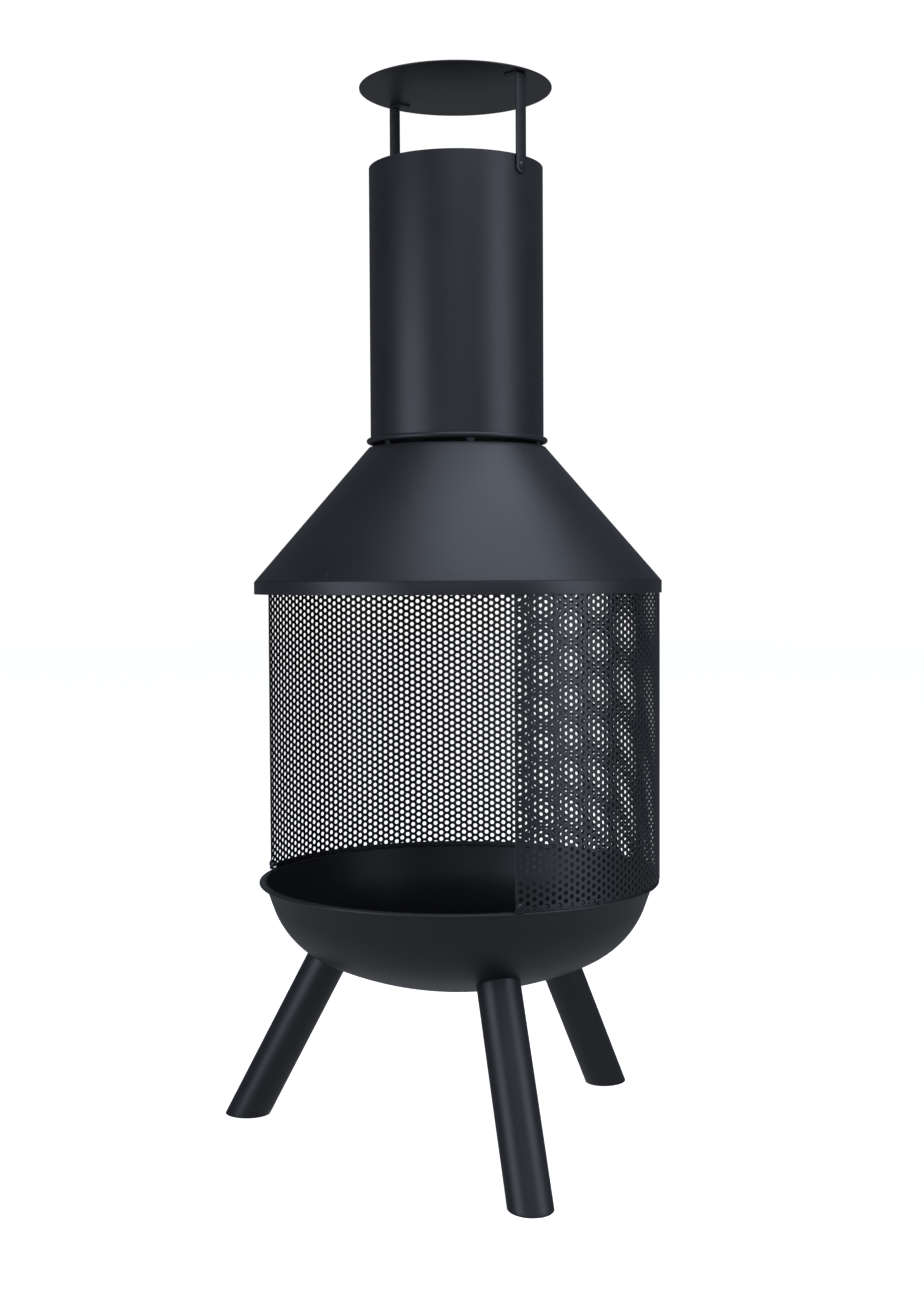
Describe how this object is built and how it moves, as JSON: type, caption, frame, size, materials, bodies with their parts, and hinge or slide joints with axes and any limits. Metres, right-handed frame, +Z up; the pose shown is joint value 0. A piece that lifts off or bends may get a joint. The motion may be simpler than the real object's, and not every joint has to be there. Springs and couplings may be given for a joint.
{
  "type": "chiminea",
  "caption": "Free-standing black steel chiminea: dished fire bowl on splayed tube legs, wrap-round perforated spark screen open at the front, cone hood, straight flue and flat rain cap.",
  "frame": {"origin": "on the floor, on the common axis of the bowl, hood and flue", "axes": "+Z up along the flue; -Y out of the open front of the fire chamber; +X to the right seen from the front"},
  "size_m": [0.5478, 0.5627, 1.285],
  "materials": {
    "black_steel": "satin black heat-resistant powder coat on sheet steel and tube",
    "fastener": "black-finished steel screws, bolts, nuts and washers",
    "plastic": "black moulded plastic glide"
  },
  "bodies": {
    "root": {"bracket_nuts": "fastener", "bracket_screws": "fastener", "cap_bracket_left": "black_steel", "cap_bracket_right": "black_steel", "chimney_tube": "black_steel", "corner_clip_nuts": "fastener", "corner_clip_screws": "fastener", "fire_bowl": "black_steel", "foot_plug_front_left": "plastic", "foot_plug_front_right": "plastic", "foot_plug_rear": "plastic", "hood_cone": "black_steel", "hood_skirt": "black_steel", "leg_bolts": "fastener", "leg_end_plate_front_left": "black_steel", "leg_end_plate_front_right": "black_steel", "leg_end_plate_rear": "black_steel", "leg_front_left": "black_steel", "leg_front_right": "black_steel", "leg_rear": "black_steel", "leg_washers": "fastener", "rain_cap": "black_steel", "screen_corner_clip_left": "black_steel", "screen_corner_clip_right": "black_steel", "screen_foot_ring": "black_steel", "screen_top_clips": "black_steel", "spark_screen": "black_steel"}
  },
  "joints": []
}
